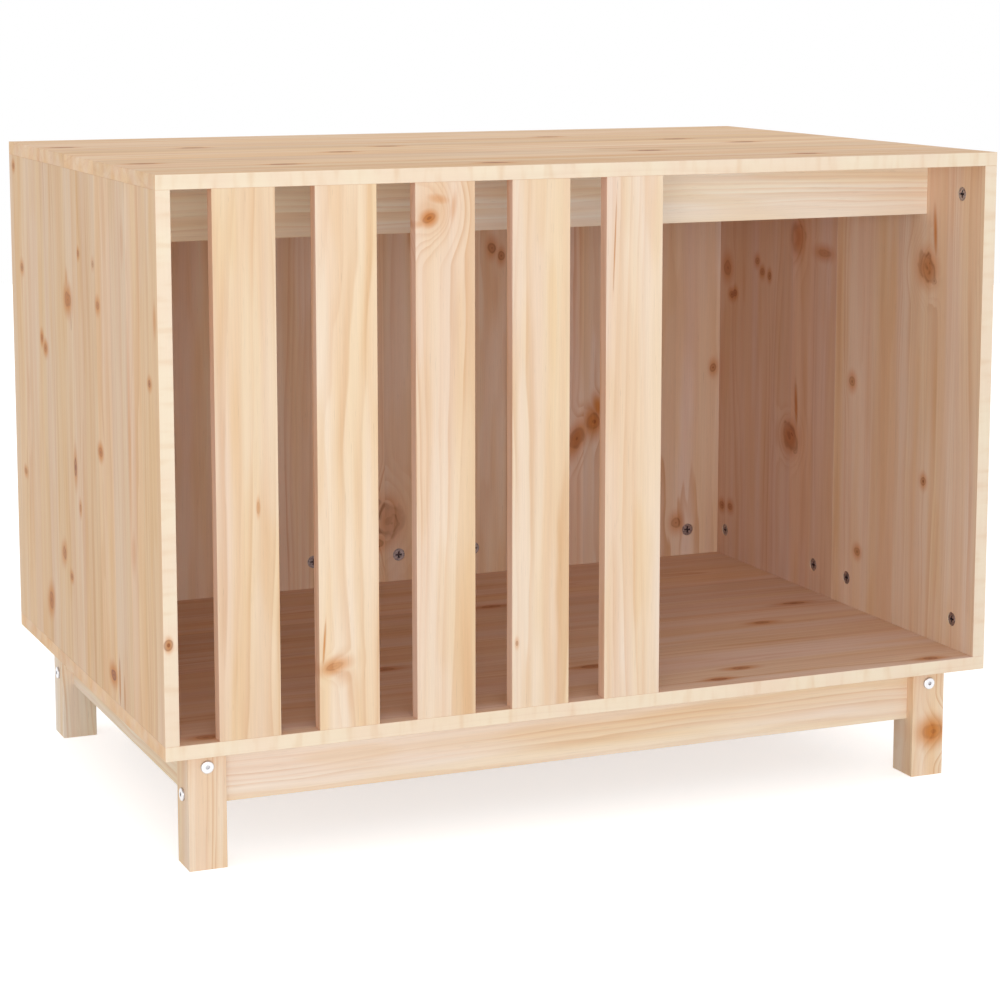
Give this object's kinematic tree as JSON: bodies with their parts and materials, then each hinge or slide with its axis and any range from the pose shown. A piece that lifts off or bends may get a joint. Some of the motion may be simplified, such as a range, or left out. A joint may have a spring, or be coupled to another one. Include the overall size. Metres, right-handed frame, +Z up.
{
  "type": "dog house",
  "caption": "Pine box dog house on a leg frame, with a slatted front, an open doorway and a flat table top.",
  "frame": {"origin": "on the ground, under the middle of the box", "axes": "+Z up, +X to the right along the slatted front, the front faces -Y, and the doorway is on the +X side"},
  "size_m": [0.9, 0.6, 0.67],
  "materials": {
    "pine_panel": "edge-glued solid pine panel, planed and sanded, unfinished, with knots",
    "pine_slat": "planed and sanded pine slat, unfinished",
    "pine_frame": "planed and sanded pine rail or leg, unfinished",
    "cam_zinc": "dull grey die-cast zinc",
    "fastener_steel": "zinc-plated steel",
    "leg_bolt_zinc": "bright zinc-plated steel, almost white",
    "dowel_beech": "plain beech dowel"
  },
  "bodies": {
    "root": {"top_panel": "pine_panel", "floor_panel": "pine_panel", "left_side_front_board": "pine_panel", "left_side_back_board": "pine_panel", "right_side_front_board": "pine_panel", "right_side_back_board": "pine_panel", "back_left_board": "pine_panel", "back_middle_board": "pine_panel", "back_right_board": "pine_panel", "slat_1": "pine_slat", "slat_2": "pine_slat", "slat_3": "pine_slat", "slat_4": "pine_slat", "slat_5": "pine_slat", "top_rail": "pine_frame", "front_left_leg": "pine_frame", "front_right_leg": "pine_frame", "back_left_leg": "pine_frame", "back_right_leg": "pine_frame", "front_apron": "pine_frame", "back_apron": "pine_frame", "left_apron": "pine_frame", "right_apron": "pine_frame", "left_side_cam_locks": "cam_zinc", "right_side_cam_locks": "cam_zinc", "back_cam_locks": "cam_zinc", "rail_cam_locks": "cam_zinc", "left_side_cam_bolts": "fastener_steel", "right_side_cam_bolts": "fastener_steel", "back_cam_bolts": "fastener_steel", "rail_cam_bolts": "fastener_steel", "apron_screws": "fastener_steel", "barrel_nuts": "fastener_steel", "side_leg_bolts": "leg_bolt_zinc", "front_and_back_leg_bolts": "leg_bolt_zinc", "side_dowels": "dowel_beech", "back_dowels": "dowel_beech", "slat_dowels": "dowel_beech", "rail_dowels": "dowel_beech", "apron_dowels": "dowel_beech"}
  },
  "joints": []
}
